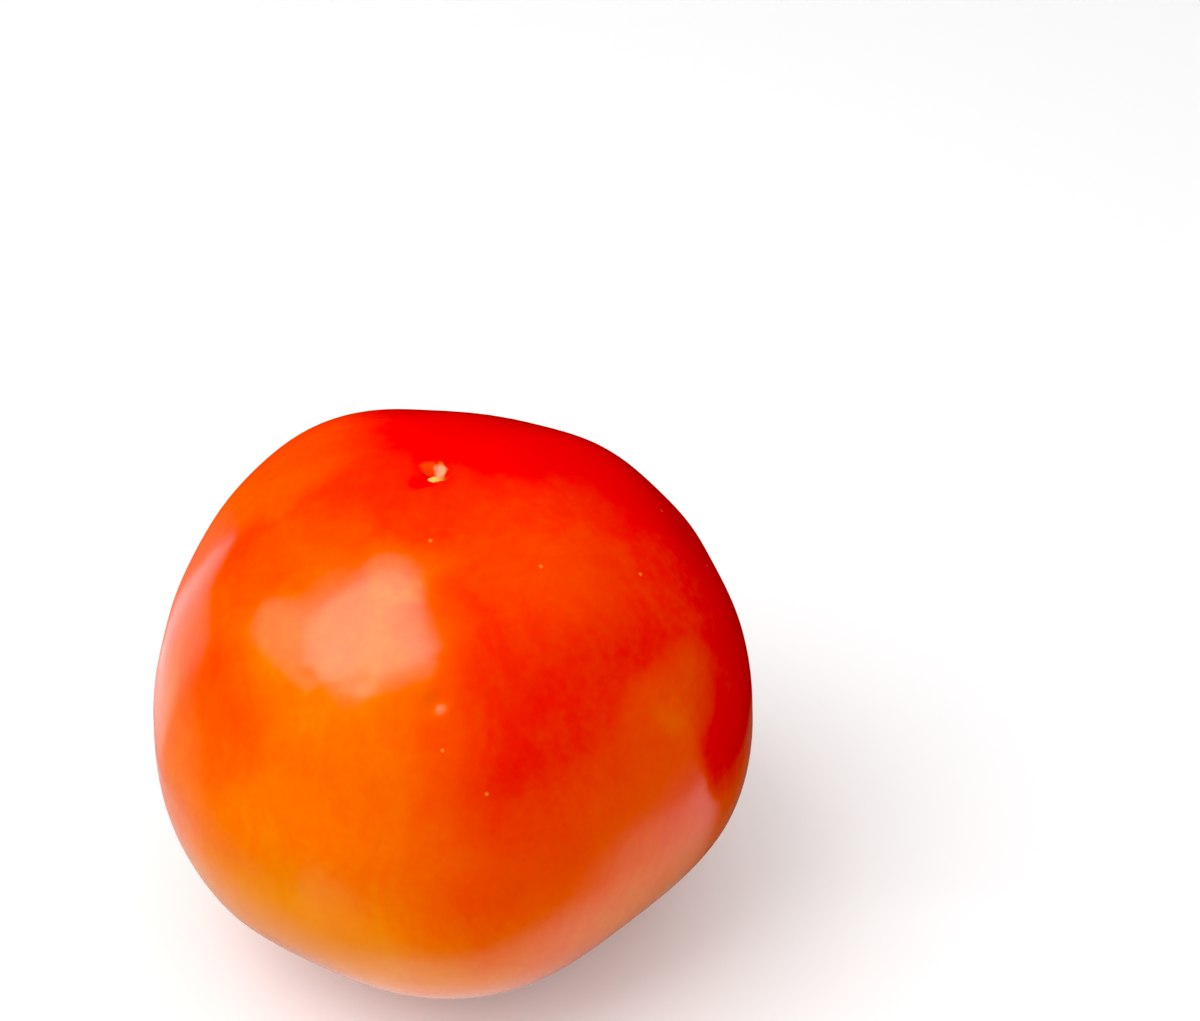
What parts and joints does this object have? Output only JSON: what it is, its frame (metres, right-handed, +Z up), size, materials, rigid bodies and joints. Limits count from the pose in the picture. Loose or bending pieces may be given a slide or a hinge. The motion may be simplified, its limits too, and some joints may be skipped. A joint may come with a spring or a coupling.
{
  "type": "tomato",
  "caption": "Whole ripe tomato with soft lobes, a small scar at the blossom end and a hollow at the stem end, resting stem end down.",
  "frame": {"origin": "middle of the fruit's width and depth, on the surface that it rests on", "axes": "+Z up through the blossom end, +X across the widest way, -Y towards the side with the front lobe"},
  "size_m": [0.0778, 0.0776, 0.0686],
  "materials": {
    "skin": "glossy orange-red fruit skin, redder at the blossom end and more orange low on the sides"
  },
  "bodies": {
    "root": {"tomato": "skin"}
  },
  "joints": []
}
